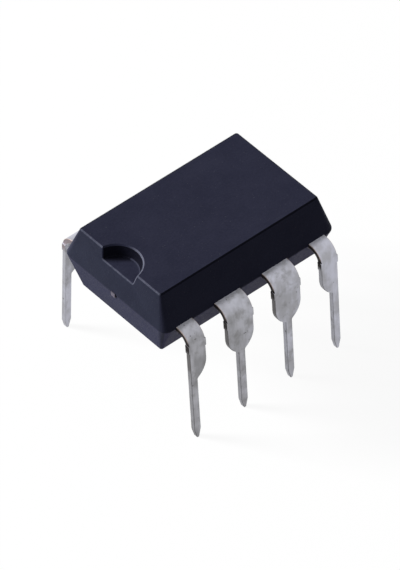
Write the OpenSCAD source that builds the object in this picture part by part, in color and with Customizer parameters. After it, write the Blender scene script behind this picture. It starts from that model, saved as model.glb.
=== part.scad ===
// Dual in-line integrated circuit with eight leads, in millimetres.
// +X runs along the package, away from its notched end. +Y points to leads 5 to 8.
// The origin is under the middle of the package, in the plane of the lead tips.
// Leads 1 to 4 stand on the -Y side with lead 1 next to the notch, and lead 8 stands opposite lead 1.

/* [Moulded package] */
// Length at the parting line
body_length = 9.2; // [9:0.05:10.1]
// Width at the parting line
body_width = 6.37; // [6.1:0.01:6.6]
// Height of the moulding above the parting line
upper_height = 1.57; // [1.3:0.01:1.9]
// Depth of the moulding below the parting line
lower_height = 1.68; // [1.3:0.01:1.9]
// Height of the parting line above the middle of the frame's thickness
parting_rise = 0.06; // [0:0.01:0.1]
// Draft of the long sides, in degrees from upright
side_draft = 23.3; // [10:0.1:26]
// Draft of the end faces, in degrees from upright
end_draft = 13.7; // [8:0.1:24]
// Corner radius in plan at the parting line
parting_corner = 0.4; // [0.2:0.02:0.8]
// Corner radius in plan at the top and bottom faces
face_corner = 0.1; // [0.06:0.01:0.2]
// Width of the worn edge round the top and bottom faces and the notch
edge_chamfer = 0.05; // [0.02:0.01:0.06]
// Height of the upright land at the parting line
parting_land = 0.06; // [0.02:0.01:0.12]

/* [Notch, ejector marks and chips] */
// Radius of the notch at the top face
notch_top_radius = 1.08; // [0.7:0.02:1.3]
// Radius of the notch at its floor
notch_floor_radius = 0.94; // [0.5:0.02:1.1]
// Depth of the notch below the top face
notch_depth = 0.5; // [0.2:0.01:0.6]
// Distance of the notch's centre beyond the edge of the top face
notch_overhang = 0.17; // [0:0.01:0.3]
// Radius of the two ejector marks in the underside
ejector_radius = 0.5; // [0.3:0.05:0.8]
// Depth of the ejector marks
ejector_depth = 0.05; // [0.02:0.01:0.1]
// Distance of each ejector mark from the middle of the package
ejector_offset = 2.4; // [1.5:0.1:3]
// Radius of the chip beside each end of the tie bars
chip_radius = 0.07; // [0.04:0.01:0.1]

/* [Leads outside the package] */
// Distance between neighbouring leads
lead_pitch = 2.54; // [2.5:0.01:2.6]
// Thickness of the sheet that the frame is stamped from
frame_thickness = 0.22; // [0.2:0.01:0.3]
// Drop from the middle of the frame's thickness to the lead tips
lead_drop = 5.6; // [4.8:0.1:6.2]
// Inner radius of the bend beside the package
bend_radius = 0.48; // [0.3:0.01:0.6]
// Flat length between the package and the start of the bend
bend_start = 0.1; // [0.05:0.005:0.2]
// Lean of each row outwards, in degrees from upright
row_lean = 3.1; // [0:0.1:8]
// Width of the full shoulder
shoulder_width = 1.36; // [1.1:0.02:1.6]
// Drop from the middle of the frame's thickness to where the shoulder starts to narrow
shoulder_drop = 1.5; // [1.3:0.05:1.8]
// Radius of the shoulder's narrowing sides
shoulder_radius = 1; // [0.85:0.05:1.2]
// Radius in the corner where the shoulder meets the stem
shoulder_fillet = 0.12; // [0.05:0.01:0.2]
// Width of the stem that goes through the board
stem_width = 0.33; // [0.3:0.01:0.5]
// Width of the blunt tip
tip_width = 0.1; // [0.08:0.01:0.2]
// Length of the taper at the tip
tip_taper = 0.45; // [0.2:0.05:0.8]
// Reach of the stubs left where the bar between the leads was cut away
bar_stub_reach = 0.04; // [0.02:0.01:0.08]
// Drop from the middle of the frame's thickness to the lower end of those stubs
bar_stub_drop = 0.85; // [0.7:0.05:1.1]
// Height of those stubs
bar_stub_height = 0.4; // [0.2:0.05:0.5]

/* [Frame inside the package] */
// Length along which a lead keeps its full width inside the moulding
root_depth = 0.35; // [0.2:0.05:0.5]
// Width of the inner finger of a middle lead
finger_width = 0.9; // [0.6:0.05:1.1]
// Distance from the middle of the package to the end of a middle finger
finger_end = 1.65; // [1.5:0.05:1.9]
// Radius of the hole that locks a middle finger in the moulding
lock_hole_radius = 0.2; // [0.1:0.02:0.25]
// Length of the die pad
pad_length = 3.5; // [2.4:0.1:3.8]
// Width of the die pad
pad_width = 2.4; // [1.8:0.1:2.6]
// Depth of the die pad below the rest of the frame
pad_downset = 0.25; // [0.1:0.01:0.4]
// Length of each sloping step between the die pad and its tie bars
downset_run = 0.4; // [0.2:0.05:0.6]
// Width of the tie bars
tie_bar_width = 0.24; // [0.2:0.02:0.5]
// Length of tie bar that stands out of each end face
tie_bar_proud = 0.03; // [0.01:0.01:0.06]

/* [Silicon and wires] */
// Length of the silicon die
die_length = 1.7; // [1.2:0.05:2.1]
// Width of the silicon die
die_width = 1.4; // [1:0.05:1.6]
// Thickness of the silicon die
die_thickness = 0.28; // [0.2:0.01:0.3]
// Thickness of the adhesive under the die
attach_thickness = 0.03; // [0.02:0.005:0.05]
// Width of the adhesive that shows round the die
attach_border = 0.08; // [0.02:0.01:0.15]
// Distance between neighbouring bonds on the die
bond_pitch = 0.4; // [0.25:0.01:0.45]
// Distance of the bonds from the edge of the die
bond_inset = 0.12; // [0.08:0.01:0.2]
// Distance of a wire's bond from the end of a middle finger
bond_setback = 0.2; // [0.15:0.01:0.3]
// Diameter of the bond wires
wire_diameter = 0.033; // [0.025:0.001:0.05]
// Diameter of the ball at the die end of a wire
ball_diameter = 0.09; // [0.07:0.005:0.12]
// Height of that ball
ball_height = 0.02; // [0.01:0.005:0.03]
// Height that a wire loops above its straight line
loop_height = 0.3; // [0.25:0.01:0.5]

/* [Hidden] */
row_count = 4;
lead_count = 2 * row_count;
row_names = [for (number = [1 : lead_count]) str(number)];

mould_black = "#2a2b3a";
tinned_grey = "#a6a6ab";
copper_frame = "#b3774d";
adhesive_grey = "#8f8f8c";
silicon_grey = "#5b6270";
wire_gold = "#d9a83c";

over = 0.5;
slice = 0.01;
round_fn = 96;
corner_fn = 32;

frame_level = lead_drop;
frame_top = frame_thickness / 2;
top_level = upper_height;
bottom_level = -lower_height;
top_edge_x = body_length / 2 - upper_height * tan(end_draft);

// Places inside a row, measured from the lead's own middle line
stem_half = stem_width / 2;
shoulder_half = shoulder_width / 2;
lead_reach = body_width / 2 + bend_start;
outer_bend = bend_radius + frame_thickness;

// Levels of the stack on the die pad, measured from the middle of the frame's thickness
pad_top = frame_top - pad_downset;
die_bottom = pad_top + attach_thickness;
die_top = die_bottom + die_thickness;

// The inner finger of a corner lead, as [towards the middle lead, outwards from the middle line]
corner_finger_bend = 2.25;
corner_finger_tip = [[1, 0.75], [1.45, 1.15]];
corner_bond = [1.13, 1.05];
middle_bond = [0, finger_end + bond_setback];

wire_steps = 8;
wire_sides = 6;

// Raises what is drawn about the middle of the frame's thickness to its place above the lead tips
module at_frame_level() {
    translate([0, 0, frame_level]) children();
}

// Where a lead stands: leads 5 to 8 as drawn, leads 1 to 4 turned half a turn
function row_index(number) = (number - 1) % row_count;
function lead_place(number) = lead_pitch * ((row_count - 1) / 2 - row_index(number));
function toward_middle(number) =
    row_index(number) == 0 ? -1 : row_index(number) == row_count - 1 ? 1 : 0;

module in_its_row(number) {
    at_frame_level() rotate([0, 0, number > row_count ? 0 : 180]) children();
}

// The moulding at one level: the plan at the parting line, drawn in by the draft
module moulding_slice(level, shrink = 0) {
    height = max(abs(level) - parting_land / 2, 0);
    depth = level > 0 ? upper_height : lower_height;
    share = height / (depth - parting_land / 2);
    radius = parting_corner + (face_corner - parting_corner) * share;
    half_x = body_length / 2 - height * tan(end_draft) - shrink - radius;
    half_y = body_width / 2 - height * tan(side_draft) - shrink - radius;
    translate([0, 0, level > 0 ? level - slice : level])
        for (x = [-half_x, half_x], y = [-half_y, half_y])
            translate([x, y, 0]) cylinder(h = slice, r = radius, $fn = corner_fn);
}

module moulding() {
    hull() {
        moulding_slice(top_level, edge_chamfer);
        moulding_slice(top_level - edge_chamfer);
        moulding_slice(parting_land / 2);
        moulding_slice(-parting_land / 2);
        moulding_slice(bottom_level + edge_chamfer);
        moulding_slice(bottom_level, edge_chamfer);
    }
}

// The half-round pocket that marks the end with lead 1, with drafted walls, a flat floor
// and a worn rim
module notch() {
    flare = (notch_top_radius - notch_floor_radius) / notch_depth;
    translate([-top_edge_x - notch_overhang, 0, top_level]) {
        translate([0, 0, -notch_depth])
            cylinder(
                h = notch_depth + over,
                r1 = notch_floor_radius,
                r2 = notch_top_radius + over * flare,
                $fn = round_fn
            );
        translate([0, 0, -edge_chamfer])
            cylinder(
                h = edge_chamfer + over,
                r1 = notch_top_radius - edge_chamfer * flare,
                r2 = notch_top_radius + edge_chamfer + over * (1 + flare),
                $fn = round_fn
            );
    }
}

module ejector_marks() {
    for (x = [-ejector_offset, ejector_offset])
        translate([x, 0, bottom_level - over])
            cylinder(h = over + ejector_depth, r = ejector_radius, $fn = round_fn);
}

// The resin is chipped beside each tie bar, where the bar was broken off
module tie_bar_chips() {
    for (end = [0, 1])
        mirror([end, 0, 0]) translate([-body_length / 2, -(tie_bar_width + chip_radius) / 2, 0])
            sphere(r = chip_radius, $fn = corner_fn);
}

// A lead from the side: flat out of the package, round the bend and down the leaning leg
module lead_side() {
    leg_length = lead_drop + over;
    flat_start = body_width / 2 - root_depth;
    translate([flat_start, -frame_thickness / 2])
        square([lead_reach - flat_start, frame_thickness]);
    translate([lead_reach, frame_top - outer_bend]) {
        difference() {
            circle(r = outer_bend, $fn = round_fn);
            circle(r = bend_radius, $fn = round_fn);
            rotate(90) translate([-over, 0]) square(2 * outer_bend);
            rotate(row_lean) translate([-2 * outer_bend, -4 * outer_bend])
                square(4 * outer_bend);
        }
        rotate(row_lean) translate([bend_radius, -leg_length])
            square([frame_thickness, leg_length]);
    }
}

// One corner between the shoulder's narrowing side and the stem
module shoulder_corner() {
    center_x = stem_half + shoulder_fillet;
    run = center_x + shoulder_radius - shoulder_half;
    fall = sqrt(pow(shoulder_radius + shoulder_fillet, 2) - run * run);
    share = shoulder_radius / (shoulder_radius + shoulder_fillet);
    touch = [shoulder_half - shoulder_radius + run * share, -shoulder_drop - fall * share];
    difference() {
        polygon([
            [0, -shoulder_drop],
            [0, -shoulder_drop - fall],
            [center_x, -shoulder_drop - fall],
            touch
        ]);
        translate([center_x, -shoulder_drop - fall])
            circle(r = shoulder_fillet, $fn = round_fn);
    }
}

// The round that a narrowing side follows
module shoulder_arc(side) {
    translate([side * (shoulder_half - shoulder_radius), -shoulder_drop])
        circle(r = shoulder_radius, $fn = round_fn);
}

// A lead from the front: shoulder, cut bar stubs, narrowing sides, stem and blunt tip
module lead_front() {
    translate([-shoulder_half, -shoulder_drop])
        square([shoulder_width, shoulder_drop + over]);
    translate([-shoulder_half - bar_stub_reach, -bar_stub_drop])
        square([shoulder_width + 2 * bar_stub_reach, bar_stub_height]);
    intersection() {
        shoulder_arc(1);
        shoulder_arc(-1);
        translate([-shoulder_half, -lead_drop]) square([shoulder_width, lead_drop - shoulder_drop]);
    }
    for (side = [0, 1])
        mirror([side, 0]) shoulder_corner();
    polygon([
        [-stem_half, -shoulder_drop - over],
        [-stem_half, -lead_drop + tip_taper],
        [-tip_width / 2, -lead_drop],
        [tip_width / 2, -lead_drop],
        [stem_half, -lead_drop + tip_taper],
        [stem_half, -shoulder_drop - over]
    ]);
}

// A corner lead keeps only the half of its shoulder that faces the middle of the row
module lead_front_trimmed(inward) {
    intersection() {
        lead_front();
        if (inward == 0)
            translate([-shoulder_width, -2 * lead_drop]) square([2 * shoulder_width, 3 * lead_drop]);
        else
            mirror([inward < 0 ? 1 : 0, 0]) {
                translate([-stem_half, -2 * lead_drop]) square([2 * shoulder_width, 3 * lead_drop]);
                translate([-stem_half - bar_stub_reach, -bar_stub_drop])
                    square([shoulder_width, bar_stub_height]);
            }
    }
}

module lead_outside(inward) {
    intersection() {
        translate([-shoulder_width, 0, 0])
            rotate([90, 0, 90]) linear_extrude(2 * shoulder_width) lead_side();
        rotate([90, 0, 0]) linear_extrude(4 * body_width, center = true)
            lead_front_trimmed(inward);
    }
}

module middle_finger() {
    difference() {
        union() {
            translate([-finger_width / 2, finger_end])
                square([finger_width, body_width / 2 - finger_end]);
            translate([-shoulder_half, body_width / 2 - root_depth])
                square([shoulder_width, root_depth]);
        }
        translate([0, (finger_end + body_width / 2) / 2])
            circle(r = lock_hole_radius, $fn = round_fn);
    }
}

module corner_finger() {
    polygon([
        [-stem_half, body_width / 2],
        [-stem_half, corner_finger_bend],
        corner_finger_tip[0],
        corner_finger_tip[1],
        [shoulder_half, corner_finger_bend],
        [shoulder_half, body_width / 2]
    ]);
}

module lead_inside(inward) {
    linear_extrude(frame_thickness, center = true)
        if (inward == 0) middle_finger();
        else mirror([inward < 0 ? 1 : 0, 0]) corner_finger();
}

module lead(number) {
    inward = toward_middle(number);
    color(tinned_grey) in_its_row(number) translate([lead_place(number), 0, 0]) {
        lead_outside(inward);
        lead_inside(inward);
    }
}

// One tie bar from the side: it steps up from the die pad and leaves through the end face
module tie_bar_side() {
    step_start = pad_length / 2 + frame_thickness;
    step_end = step_start + downset_run;
    bar_end = body_length / 2 + tie_bar_proud;
    lower = -pad_downset - frame_thickness / 2;
    polygon([
        [pad_length / 2 - over, lower],
        [step_start, lower],
        [step_end, -frame_thickness / 2],
        [bar_end, -frame_thickness / 2],
        [bar_end, frame_top],
        [step_end, frame_top],
        [step_start, pad_top],
        [pad_length / 2 - over, pad_top]
    ]);
}

module die_pad() {
    color(copper_frame) at_frame_level() {
        translate([0, 0, pad_top - frame_thickness / 2])
            cube([pad_length, pad_width, frame_thickness], center = true);
        for (end = [0, 1])
            mirror([end, 0, 0]) rotate([90, 0, 0])
                linear_extrude(tie_bar_width, center = true) tie_bar_side();
    }
}

module die_attach() {
    border = 2 * attach_border;
    color(adhesive_grey) at_frame_level() translate([0, 0, pad_top + attach_thickness / 2])
        cube([die_length + border, die_width + border, attach_thickness], center = true);
}

module die() {
    color(silicon_grey) at_frame_level() translate([0, 0, die_bottom + die_thickness / 2])
        cube([die_length, die_width, die_thickness], center = true);
}

// The places of a wire's two ends in its row: on the die, and on the finger of its lead
function die_bond(number) =
    [bond_pitch * ((row_count - 1) / 2 - row_index(number)), die_width / 2 - bond_inset];
function finger_bond(number) =
    let (inward = toward_middle(number), spot = inward == 0 ? middle_bond : corner_bond)
    [lead_place(number) + (inward == 0 ? spot.x : inward * spot.x), spot.y];

// A wire rises straight off its ball, loops over and comes down at a low angle.
// Each ring is [distance along the wire's line, level, half width, [half depth along, half depth up]].
function wire_path(share, span, start, fall) =
    [span * share * share, start + fall * share * share + loop_height * sin(180 * share)];
function wire_heading(share, span, fall) =
    let (along = 2 * span * share, up = 2 * fall * share + loop_height * PI * cos(180 * share))
    [along, up] / norm([along, up]);
function wire_rings(span, start, fall) =
    let (radius = wire_diameter / 2, ball = ball_diameter / 2)
    concat(
        [
            [0, start - ball_height, ball, [-ball, 0]],
            [0, start, ball, [-ball, 0]]
        ],
        [
            for (step = [0 : wire_steps - 1])
                let (
                    spot = wire_path(step / wire_steps, span, start, fall),
                    heading = wire_heading(step / wire_steps, span, fall)
                )
                [spot.x, spot.y, radius, [-heading.y, heading.x] * radius]
        ],
        [
            let (spot = wire_path(1, span, start, fall), heading = wire_heading(1, span, fall))
            [spot.x, spot.y, radius, [-radius / heading.y, 0]]
        ]
    );

module bond_wire(number) {
    near = die_bond(number);
    far = finger_bond(number);
    span = norm(far - near);
    along = (far - near) / span;
    across = [-along.y, along.x];
    start = die_top + ball_height;
    rings = wire_rings(span, start, frame_top - start);
    points = [
        for (ring = rings, side = [0 : wire_sides - 1])
            let (
                turn = 360 * side / wire_sides,
                spot = near + along * (ring[0] + ring[3].x * sin(turn))
                    + across * (ring[2] * cos(turn))
            )
            [spot.x, spot.y, ring[1] + ring[3].y * sin(turn)]
    ];
    walls = [
        for (ring = [0 : len(rings) - 2], side = [0 : wire_sides - 1])
            let (low = ring * wire_sides, high = low + wire_sides, next = (side + 1) % wire_sides)
            each [[low + side, high + side, high + next], [low + side, high + next, low + next]]
    ];
    last = (len(rings) - 1) * wire_sides;
    ends = [
        [for (side = [0 : wire_sides - 1]) side],
        [for (side = [wire_sides - 1 : -1 : 0]) last + side]
    ];
    color(wire_gold) in_its_row(number) polyhedron(points, concat(walls, ends));
}

// The moulding fits closely round the frame, the silicon and the wires
module package_body() {
    color(mould_black) difference() {
        at_frame_level() difference() {
            translate([0, 0, parting_rise]) difference() {
                moulding();
                notch();
                ejector_marks();
            }
            tie_bar_chips();
        }
        die_pad();
        die_attach();
        die();
        for (number = [1 : lead_count]) {
            lead(number);
            bond_wire(number);
        }
    }
}

package_body();
die_pad();
die_attach();
die();
for (number = [1 : lead_count]) {
    lead(number);
    bond_wire(number);
}
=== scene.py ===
from math import radians

import bmesh
import bpy
from mathutils import Matrix, Vector


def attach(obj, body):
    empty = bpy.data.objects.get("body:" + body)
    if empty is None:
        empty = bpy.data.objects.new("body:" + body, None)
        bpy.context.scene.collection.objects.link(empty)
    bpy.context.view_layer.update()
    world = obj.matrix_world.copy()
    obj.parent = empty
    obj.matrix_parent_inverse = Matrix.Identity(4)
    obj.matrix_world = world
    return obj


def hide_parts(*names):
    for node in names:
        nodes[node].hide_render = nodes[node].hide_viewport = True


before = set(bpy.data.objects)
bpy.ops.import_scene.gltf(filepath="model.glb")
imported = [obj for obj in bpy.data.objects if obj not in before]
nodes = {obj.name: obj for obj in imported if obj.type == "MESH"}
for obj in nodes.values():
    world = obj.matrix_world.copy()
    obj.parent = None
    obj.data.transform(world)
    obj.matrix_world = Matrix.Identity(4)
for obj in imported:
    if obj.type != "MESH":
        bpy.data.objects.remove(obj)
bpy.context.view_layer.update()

# Camera.
# A long lens looks down at the notched end and the row of leads 1 to 4, as the photograph does.
# Its place is measured from the middle of the package, at the level where the leads come out.
MM = 0.001
frame_level = 5.6 * MM
middle = Vector((0, 0, frame_level))
camera_azimuth = radians(40.069)
camera_elevation = radians(45.288)
camera_roll = radians(-0.945)
camera_distance = 251.39 * MM
aim_right = 0.022 * MM
aim_down = 1.803 * MM
lens_length, sensor_width = 389.3, 36
nearest_shown, farthest_shown = 0.01, 2

turn = Matrix.Rotation(-camera_azimuth, 3, "Z")
level_right = turn @ Vector((1, 0, 0))
back = Matrix.Rotation(-camera_elevation, 3, level_right) @ turn @ Vector((0, -1, 0))
roll = Matrix.Rotation(camera_roll, 3, back)
right, up = roll @ level_right, roll @ back.cross(level_right)
place = middle + back * camera_distance
toward = (place - middle - right * aim_right + up * aim_down).normalized()
across = up.cross(toward).normalized()

lens = bpy.data.cameras.new("camera")
lens.lens, lens.sensor_width = lens_length, sensor_width
lens.clip_start, lens.clip_end = nearest_shown, farthest_shown
camera = bpy.data.objects.new("camera", lens)
bpy.context.scene.collection.objects.link(camera)
camera.matrix_world = Matrix.Translation(place) @ Matrix(
    (across, toward.cross(across), toward)
).transposed().to_4x4()
bpy.context.scene.camera = camera
bpy.context.scene.view_settings.view_transform = "Standard"


# Floor and light.
# The chip stands by its lead tips on a white sheet in a white room, under a soft lamp that
# stands low behind its left shoulder. From below, the sheet is clear and hides nothing.
class Value:
    """A socket that is added to, multiplied or compared, each time by a Math node."""

    def __init__(self, finish, socket):
        self.finish, self.socket = finish, socket

    def _math(self, operation, *terms):
        return self.finish.node("Math", {"operation": operation}, *terms)

    def __add__(self, other):
        return self._math("ADD", self, other)

    __radd__ = __add__

    def __mul__(self, other):
        return self._math("MULTIPLY", self, other)

    __rmul__ = __mul__

    def __gt__(self, other):
        return self._math("GREATER_THAN", self, other)

    def __lt__(self, other):
        return self._math("LESS_THAN", self, other)


class Finish:
    """A material or world whose nodes are made by one method."""

    def __init__(self, owner):
        owner.use_nodes = True
        self.owner = owner
        self.tree = owner.node_tree
        self.tree.nodes.clear()

    def node(self, kind, settings=None, *values, out=0, **named):
        made = self.tree.nodes.new("ShaderNode" + kind)
        for name, value in (settings or {}).items():
            setattr(made, name, value)
        for key, value in [*enumerate(values), *named.items()]:
            socket = made.inputs[key if isinstance(key, int) else key.replace("_", " ")]
            if isinstance(value, Value):
                self.tree.links.new(value.socket, socket)
            elif isinstance(value, tuple) and len(value) == 3 and socket.type == "RGBA":
                socket.default_value = (*value, 1)
            else:
                socket.default_value = value
        return Value(self, made.outputs[out])

    def place(self, scale=(1, 1, 1), shift=(0, 0, 0)):
        """Object coordinates in millimetres, stretched along each axis and then shifted."""
        spot = self.node("TexCoord", out="Object")
        scale = tuple(s / MM for s in scale)
        return self.node("Mapping", None, spot, Location=shift, Scale=scale)

    def along(self, axis):
        """The place along one axis, in millimetres."""
        return self.node("SeparateXYZ", None, self.place(), out=axis)

    def noise(self, scale, detail=2.0, roughness=0.5, stretch=(1, 1, 1), shift=(0, 0, 0)):
        return self.node(
            "TexNoise", None, Vector=self.place(stretch, shift), Scale=scale, Detail=detail,
            Roughness=roughness,
        )

    def between(self, value, low, high, to=(0, 1)):
        """The value's way from low to high, eased at both ends."""
        return self.node(
            "MapRange", {"interpolation_type": "SMOOTHSTEP"}, value, low, high, to[0], to[1]
        )

    def blend(self, share, first, second):
        return self.node("Mix", {"data_type": "RGBA"}, out=2, Factor=share, A=first, B=second)

    def shade(self, shader, kind="Material"):
        end = self.tree.nodes.new("ShaderNodeOutput" + kind)
        self.tree.links.new(shader.socket, end.inputs["Surface"])
        return self.owner

    def shown_rays(self):
        """1 for a ray from the camera or off metal or gloss, and 0 for one of soft light."""
        path = self.tree.nodes.new("ShaderNodeLightPath")
        kinds = ("Is Camera Ray", "Is Glossy Ray", "Is Transmission Ray")
        return sum(Value(self, path.outputs[kind]) for kind in kinds) > 0.5


sheet_half = 0.5
sheet_white = (0.95, 0.95, 0.95)
sheet_bounce = (0.3, 0.3, 0.31)
sheet_glow = 0.93
room_fill = 0.2
lamp_heading = Vector((-0.57, 0.69, 0.43)).normalized()
lamp_distance = 0.6
lamp_size = 0.2
lamp_energy = 7.1

sheet = Finish(bpy.data.materials.new("white_sheet"))
lit = sheet.node("BsdfDiffuse", None, sheet_white)
glow = sheet.node("Emission", None, (1, 1, 1))
seen = sheet.node("MixShader", None, sheet_glow, lit, glow)
dull = sheet.node("BsdfDiffuse", None, sheet_bounce)
upper_side = sheet.node("MixShader", None, sheet.shown_rays(), dull, seen)
clear = sheet.node("BsdfTransparent")
from_below = sheet.node("NewGeometry", out="Backfacing")
white_sheet = sheet.shade(sheet.node("MixShader", None, from_below, upper_side, clear))

shape = bmesh.new()
bmesh.ops.create_grid(shape, x_segments=1, y_segments=1, size=sheet_half)
floor_mesh = bpy.data.meshes.new("floor")
shape.to_mesh(floor_mesh)
shape.free()
floor_mesh.materials.append(white_sheet)
floor = bpy.data.objects.new("floor", floor_mesh)
bpy.context.scene.collection.objects.link(floor)

room = Finish(bpy.data.worlds.new("room"))
strength = room.shown_rays() * (1 - room_fill) + room_fill
walls = room.node("Background", None, (1, 1, 1), strength)
bpy.context.scene.world = room.shade(walls, "World")

lamp_light = bpy.data.lights.new("lamp", "AREA")
lamp_light.shape, lamp_light.size = "DISK", lamp_size
lamp_light.energy = lamp_energy
lamp = bpy.data.objects.new("lamp", lamp_light)
bpy.context.scene.collection.objects.link(lamp)
lamp.location = middle + lamp_heading * lamp_distance
lamp.rotation_euler = lamp_heading.to_track_quat("Z", "Y").to_euler()


# Moulded package.
# Matt blue-black epoxy resin full of ground silica, pressed hot round the lead frame. Its end
# edges' chamfers and the notch's rim are rubbed pale and carry a painted highlight. One side of
# the notch's crease carries a painted highlight too. The long edges' chamfers and the notch's
# walls are near-black, painted shade, the notch's floor darkens toward its back wall, painted
# shade, and the upper end faces take a darker resin, painted shade. Its lower half and
# underside are bluer, painted reflected light, most of all beside leads 1 to 4.
notch_centre = Vector((-4.387, 0, 6.73)) * MM
notch_reach = 1.24 * MM
notch_slack = 0.01 * MM
notch_edge_round = 0.045 * MM
notch_crease_round = 0.045 * MM
chamfer_tilt = (0.5, 0.95)
# The span across y, in mm, over which the notch rim's painted highlight fades into the plain
# dark resin.
rim_highlight_fade = (-0.2, 0.6)
# The notch's crease carries a painted highlight on the lower-y side of this.
crease_highlight_end = 0.25 * MM
# The distances along (0.64, 0.77), in mm, over which the notch's floor darkens toward its back
# wall: painted shade.
floor_shade_fade = (-2.32, -2.05)
resin_ior = 1.14
resin_tint = (0.64, 0.7, 1)
resin_dark = (0.0165, 0.0175, 0.033)
resin_pale = (0.0225, 0.0235, 0.042)
# The upper end faces take a darker copy of the resin: painted shade.
end_shade_dark = (0.0135, 0.015, 0.0265)
end_shade_pale = (0.018, 0.02, 0.034)
# The lower half and underside take a bluer resin, lighter still on the long side by leads 1 to
# 4: painted reflected light from the sheet.
lower_dark = (0.0165, 0.0177, 0.0405)
lower_pale = (0.0225, 0.0237, 0.0515)
lower_side_dark = (0.034, 0.032, 0.08)
lower_side_pale = (0.044, 0.042, 0.1)
grain_fleck = (0.045, 0.046, 0.06)
# Near-black resin for the notch's walls and the long edges' chamfers: painted shade.
painted_shade_dark = (0.002, 0.002, 0.005)
painted_shade_pale = (0.004, 0.004, 0.008)
# Pale resin for the end edges' chamfers and the notch's mouth: rubbed wear with a painted
# highlight.
worn_highlit_dark = (0.026, 0.028, 0.044)
worn_highlit_pale = (0.07, 0.074, 0.102)
# Paler resin for the notch's rim: rubbed wear with a painted highlight.
rim_dark = (0.052, 0.055, 0.077)
rim_pale = (0.098, 0.102, 0.136)
resin_rough = 0.55
edge_rough = 0.5
rough_spread = (-0.06, 0.08)
cloud_scale, speck_scale, fleck_scale, grain_scale = 0.9, 9, 15, 18
speck_part = 0.55
mottle = (0.35, 0.65)
speck_range = (0.3, 0.7)
fleck_start = (0.74, 0.79)
speck_height = 0.4
grain_depth = 0.01 * MM
merge_distance = 0.0005 * MM
same_plane = radians(0.5)
resin_smooth = radians(14)
facing, level, undercut = 0.9, 0.99, -0.1


def merged_copy(node):
    """The CAD node's mesh as one closed skin of large flat faces."""
    shape = bmesh.new()
    shape.from_mesh(nodes[node].data)
    bmesh.ops.remove_doubles(shape, verts=shape.verts, dist=merge_distance)
    bmesh.ops.dissolve_limit(
        shape, angle_limit=same_plane, verts=shape.verts, edges=shape.edges,
        use_dissolve_boundaries=False, delimit=set(),
    )
    return shape


def round_edges(shape, edges, width, segments):
    rounded = bmesh.ops.bevel(
        shape, geom=edges, offset=width, offset_type="OFFSET", segments=segments, profile=0.5,
        affect="EDGES", clamp_overlap=True, material=-1,
    )
    return rounded["faces"]


def make_piece(shape, name, node, materials, smooth_angle):
    mesh = bpy.data.meshes.new(name)
    shape.to_mesh(mesh)
    shape.free()
    for material in materials:
        mesh.materials.append(material)
    mesh.shade_smooth()
    mesh.set_sharp_from_angle(angle=smooth_angle)
    piece = bpy.data.objects.new(name, mesh)
    bpy.context.scene.collection.objects.link(piece)
    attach(piece, "root")
    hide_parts(node)


def resin_finish(name, dark, pale, fleck, rough, heading=None, fade=None, far=None):
    """Grained resin, which may fade into another colour along a heading seen from above."""
    finish = Finish(bpy.data.materials.new(name))
    cloud = finish.noise(cloud_scale, 3, 0.6)
    speck = finish.noise(speck_scale, 4, 0.7)
    grain = finish.noise(grain_scale, 3, 0.65)
    share = finish.between(cloud * (1 - speck_part) + speck * speck_part, *mottle)
    flecks = finish.between(finish.noise(fleck_scale, 1, 0.4), *fleck_start)
    colour = finish.blend(flecks, finish.blend(share, dark, pale), fleck)
    if fade:
        way = finish.along("X") * heading[0] + finish.along("Y") * heading[1]
        colour = finish.blend(finish.between(way, *fade), colour, far)
    height = grain + speck * speck_height
    return finish.shade(finish.node(
        "BsdfPrincipled", None, Base_Color=colour,
        Roughness=finish.between(speck, *speck_range, [rough + step for step in rough_spread]),
        IOR=resin_ior, Specular_Tint=resin_tint,
        Normal=finish.node("Bump", None, Strength=1.0, Distance=grain_depth, Height=height),
    ))


resin = resin_finish("mould_compound", resin_dark, resin_pale, grain_fleck, resin_rough)
# The darker copy of the resin for the upper end faces: painted shade.
end_shaded_resin = resin_finish("end_face_painted_shade", end_shade_dark, end_shade_pale, grain_fleck, resin_rough)
# Bluer resin for the lower half and underside: painted reflected light.
lower_resin = resin_finish(
    "lower_half_compound", lower_dark, lower_pale, grain_fleck, resin_rough
)
# Lighter, bluer resin for the lower half beside leads 1 to 4: painted reflected light.
lower_side = resin_finish(
    "lower_side_compound", lower_side_dark, lower_side_pale, grain_fleck, resin_rough
)
# Rubbed end edges with a painted highlight.
worn_highlit_resin = resin_finish("worn_edge_painted_highlight", worn_highlit_dark, worn_highlit_pale, worn_highlit_pale, edge_rough)
# The notch's rim: rubbed wear with a painted highlight, fading into plain dark resin along y.
highlit_rim = resin_finish(
    "notch_rim_painted_highlight", rim_dark, rim_pale, rim_pale, edge_rough,
    heading=(0, 1), fade=rim_highlight_fade, far=resin_dark,
)
# The lit side of the notch's crease: a painted highlight.
highlit_crease = resin_finish("highlit_crease", resin_pale, worn_highlit_dark, worn_highlit_pale, edge_rough)
# Near-black resin for the notch's walls and the long edges' chamfers: painted shade.
painted_shade_resin = resin_finish("painted_shade_compound", painted_shade_dark, painted_shade_pale, painted_shade_pale, resin_rough)
# The notch's floor, darkening toward its back wall: painted shade.
shaded_notch_floor = resin_finish(
    "notch_floor", resin_dark, resin_pale, resin_pale, resin_rough,
    heading=(0.64, 0.77), fade=floor_shade_fade, far=painted_shade_pale,
)

package_finishes = [
    resin, worn_highlit_resin, highlit_rim, painted_shade_resin, shaded_notch_floor, end_shaded_resin, highlit_crease, lower_resin,
    lower_side,
]
WORN_HIGHLIT, RIM, PAINTED_SHADE, FLOOR, END, CREASE, LOWER, LOWER_SIDE = range(1, len(package_finishes))

shape = merged_copy("package_body")


def in_notch(spot):
    above_floor = spot.z > notch_centre.z - notch_slack
    return above_floor and (spot - notch_centre).length < notch_reach


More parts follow.
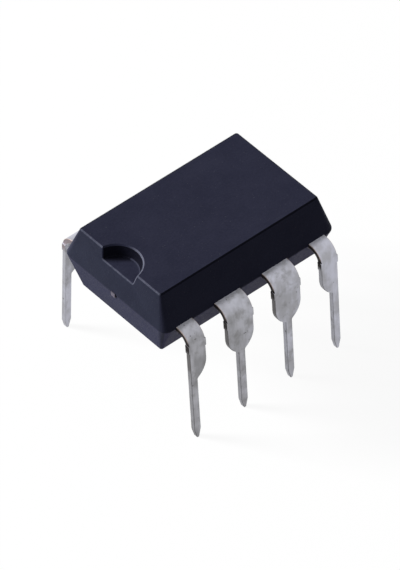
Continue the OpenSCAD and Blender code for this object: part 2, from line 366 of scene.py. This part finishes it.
# Each face takes its finish. In the notch, the rim's chamfer takes a painted highlight, the
# floor its own resin, and the walls near-black painted shade. Elsewhere, the end edges'
# chamfers take rubbed resin with a painted highlight and the long edges' chamfers near-black
# painted shade. The lower half and underside take bluer resin, painted reflected light, lighter
# beside leads 1 to 4. The upper end faces take a darker resin for painted shade.
for face in shape.faces:
    x, y, z = face.normal
    sloping = chamfer_tilt[0] < abs(z) < chamfer_tilt[1]
    if in_notch(face.calc_center_median()):
        face.material_index = RIM if sloping else FLOOR if z > level else PAINTED_SHADE
    elif sloping:
        face.material_index = WORN_HIGHLIT if abs(x) > abs(y) else PAINTED_SHADE
    elif z < undercut:
        face.material_index = LOWER_SIDE if -y > abs(x) and z > -facing else LOWER
    elif abs(x) > facing and z > 0:
        face.material_index = END
notch_floor = next(f for f in shape.faces if f.material_index == FLOOR)
crease = [e for e in notch_floor.edges if not e.is_convex]
# The crease's rounded faces on the lower-y side carry a painted highlight; the rest take the
# notch floor's resin.
for face in round_edges(shape, crease, notch_crease_round, segments=3):
    highlit_here = face.calc_center_median().y < crease_highlight_end
    face.material_index = CREASE if highlit_here else FLOOR
# The notch mouth's rounded edges take the rim's painted highlight where upright, and the rubbed
# end-edge resin with its painted highlight below.
mouth = [
    e for e in shape.edges
    if e.is_convex and in_notch((e.verts[0].co + e.verts[1].co) / 2)
    and any(f.material_index == END and f.normal.x < -facing for f in e.link_faces)
]
for face in round_edges(shape, mouth, notch_edge_round, segments=3):
    upright = face.calc_center_median().z > notch_centre.z + notch_edge_round
    face.material_index = RIM if upright else WORN_HIGHLIT
make_piece(
    shape, "package", "package_body", package_finishes, resin_smooth
)


# Leads.
# Stamped from a 0.22 mm strip with the rest of the frame, trimmed, bent down and dipped in tin.
# The tin is smudged and fresher on some leads, and paler over the top of the bend, painted
# light.
# The sides of leads 1 to 3 are darker up the stem. Beside the bend, the sheared sides are dark
# brown on leads 1 to 4, the cut metal with painted shade, and pale on leads 5 to 8, painted
# light.
tin_dark = (0.29, 0.289, 0.303)
tin_pale = (0.41, 0.41, 0.44)
tin_fresh = (0.52, 0.525, 0.6)
tin_smudge = (0.19, 0.187, 0.183)
tin_pit = (0.09, 0.085, 0.085)
# A darker band up the sides of leads 1 to 3.
tin_dark_band = (0.12, 0.115, 0.117)
# Dark brown beside the bend on the sheared sides of leads 1 to 4: the cut metal with painted
# shade. The pale one on leads 5 to 8 is painted light.
sheared_brown_and_shade = (0.016, 0.012, 0.012)
sheared_lit_pale = (0.24, 0.2, 0.215)
bare_copper = (0.36, 0.29, 0.265)
freshening = (-7.5, -0.5)
# The heights over which the tin turns paler over the bend: painted light.
bend_highlight_height = (5.4, 5.75)
dark_band_start = (3.7, 4.1)
sheared_start = (4.85, 5.1)
copper_start = (5.35, 5.6)
lead_edge_round = 0.04 * MM
tin_rough = (0.55, 0.45)
blotch_scale, smudge_scale, streak_scale, pit_scale, fine_scale = 1.6, 1.7, 5, 6.5, 14
blotch_stretch, streak_stretch = (1, 1, 0.7), (1, 1, 0.15)
blotch_shift = (16, 25, 21)
blotch_part = 0.65
smudge_start = (0.48, 0.66)
pit_start = (0.7, 0.78)
bend_highlight_part = 0.35
band_waver = 0.3
tin_depth = 0.008 * MM
sharp_edge, lead_smooth = radians(40), radians(20)
side_facing, edge_facing = 0.7, 0.3


def tin_finish(name, tone=1.0, smudged=0.5, bands=()):
    """Tin, with bands of other colours up the lead, each fading in between two heights."""
    finish = Finish(bpy.data.materials.new(name))
    blotch = finish.noise(blotch_scale, 3, 0.55, blotch_stretch, blotch_shift)
    streak = finish.noise(streak_scale, 3, 0.6, streak_stretch)
    share = finish.between(blotch * blotch_part + streak * (1 - blotch_part), *mottle)
    fresh = finish.between(finish.along("X") + finish.along("Y"), *freshening)
    height = finish.along("Z") + blotch * band_waver
    dull = finish.blend(share, tin_dark, tin_pale)
    colour = finish.blend(fresh, dull, finish.blend(share, tin_pale, tin_fresh))
    # Paler tin over the bend: painted light.
    bend_highlight = finish.between(height, *bend_highlight_height) * bend_highlight_part
    colour = finish.blend(bend_highlight, colour, tin_fresh)
    smudge = finish.noise(smudge_scale, 4, 0.62, shift=blotch_shift)
    smudge = finish.between(smudge, *smudge_start) * smudged
    colour = finish.blend(smudge, colour, tin_smudge)
    pits = finish.between(finish.noise(pit_scale, 2, 0.5), *pit_start)
    colour = finish.blend(pits, colour, tin_pit)
    colour = finish.node("VectorMath", {"operation": "SCALE"}, colour, Scale=tone)
    for start, band in bands:
        colour = finish.blend(finish.between(height, *start), colour, band)
    relief = finish.noise(fine_scale, 3, 0.6) + blotch
    bump = finish.node("Bump", None, Strength=0.5, Distance=tin_depth, Height=relief)
    return finish.shade(finish.node(
        "BsdfPrincipled", None, Base_Color=colour, Metallic=1.0,
        Roughness=finish.between(share, 0, 1, tin_rough), Normal=bump,
    ))


# The brown band is the cut metal with painted shade.
brown_bend = (sheared_start, sheared_brown_and_shade)
copper_crest = (copper_start, bare_copper)
dark_band = (dark_band_start, tin_dark_band)
# Leads 1 to 3 take darker sides and rounded edges, the cut metal with painted shade, and a
# darker band up their sides.
darkened_lead = [
    tin_finish("smudged_tin"),
    tin_finish("darkened_side", tone=0.75, bands=[dark_band, brown_bend]),
    tin_finish("darkened_edge", tone=0.42, bands=[dark_band, brown_bend, copper_crest]),
]
fresh_tin = tin_finish("fresh_tin", smudged=0.2)
fresh_lead = [
    fresh_tin,
    tin_finish("fresh_side", tone=0.78, bands=[brown_bend]),
    tin_finish("fresh_edge", tone=0.5, bands=[brown_bend, copper_crest]),
]
# Leads 5 to 8 take paler sides and rounded edges than leads 1 to 4, and a pale band beside the
# bend: painted light on the cut metal.
pale_lead = [
    fresh_tin,
    tin_finish("pale_side", tone=0.85, smudged=0.2, bands=[(sheared_start, sheared_lit_pale)]),
    tin_finish("pale_edge", tone=0.8, smudged=0.2, bands=[copper_crest]),
]
lead_finishes = [darkened_lead] * 3 + [fresh_lead] + [pale_lead] * 4
SIDE, EDGE = 1, 2

for number, finishes in enumerate(lead_finishes, 1):
    shape = merged_copy(f"lead_{number}")
    edges = [e for e in shape.edges if e.is_convex and e.calc_face_angle() > sharp_edge]
    for face in shape.faces:
        if abs(face.normal.x) > side_facing:
            face.material_index = SIDE
    for face in round_edges(shape, edges, lead_edge_round, segments=2):
        if abs(face.normal.x) > edge_facing:
            face.material_index = EDGE
    make_piece(
        shape, f"formed_lead_{number}", f"lead_{number}", finishes, lead_smooth
    )


# Die pad and tie bars.
# The middle of the lead frame, stamped with the leads from the same bare copper alloy. Its two
# tie bars are cut off at the end faces, where the cut ends are pale and dull.
cut_end_start = (4.5, 4.6)
cut_end_grey = (0.14, 0.125, 0.165)
frame_tones = (0.5, 0.3, 0.2), (0.62, 0.42, 0.3)
hidden_depth = 0.004 * MM
fine_times = 6


def plain_metal(name, tones, rough, scale, metallic=1.0, cut_end=None):
    """A mottled finish, which may turn to another colour at both ends of the package."""
    finish = Finish(bpy.data.materials.new(name))
    colour = finish.blend(finish.noise(scale, 3, 0.6), *tones)
    if cut_end:
        way = finish.along("X")
        at_ends = finish.between(way * way, *(start ** 2 for start in cut_end_start))
        colour = finish.blend(at_ends, colour, cut_end)
    fine = finish.noise(scale * fine_times, 2)
    bump = finish.node("Bump", None, Strength=0.4, Distance=hidden_depth, Height=fine)
    return finish.shade(finish.node(
        "BsdfPrincipled", None, Base_Color=colour, Metallic=metallic, Roughness=rough,
        Normal=bump,
    ))


def finish_node(node, material):
    mesh = nodes[node].data
    mesh.materials.clear()
    mesh.materials.append(material)


finish_node("die_pad", plain_metal(
    "frame_copper", frame_tones, rough=0.4, scale=3, cut_end=cut_end_grey
))


# Silicon and its adhesive.
# A sawn chip of polished silicon, held to the pad by a thin layer of cured silver-filled glue.
# Neither shows, because the moulding closes round them.
adhesive_tones = (0.3, 0.3, 0.29), (0.4, 0.4, 0.38)
silicon_tones = (0.1, 0.11, 0.14), (0.14, 0.15, 0.19)

finish_node("die_attach", plain_metal(
    "die_adhesive", adhesive_tones, rough=0.5, scale=8, metallic=0.6
))
finish_node("die", plain_metal("silicon", silicon_tones, rough=0.2, scale=4, metallic=0.7))


# Bond wires.
# Drawn gold, looped from the silicon to the end of each lead's finger inside the moulding.
gold_tones = (0.8, 0.55, 0.2), (0.9, 0.66, 0.28)

gold = plain_metal("bonding_gold", gold_tones, rough=0.25, scale=10)
for number in range(1, 9):
    finish_node(f"bond_wire_{number}", gold)
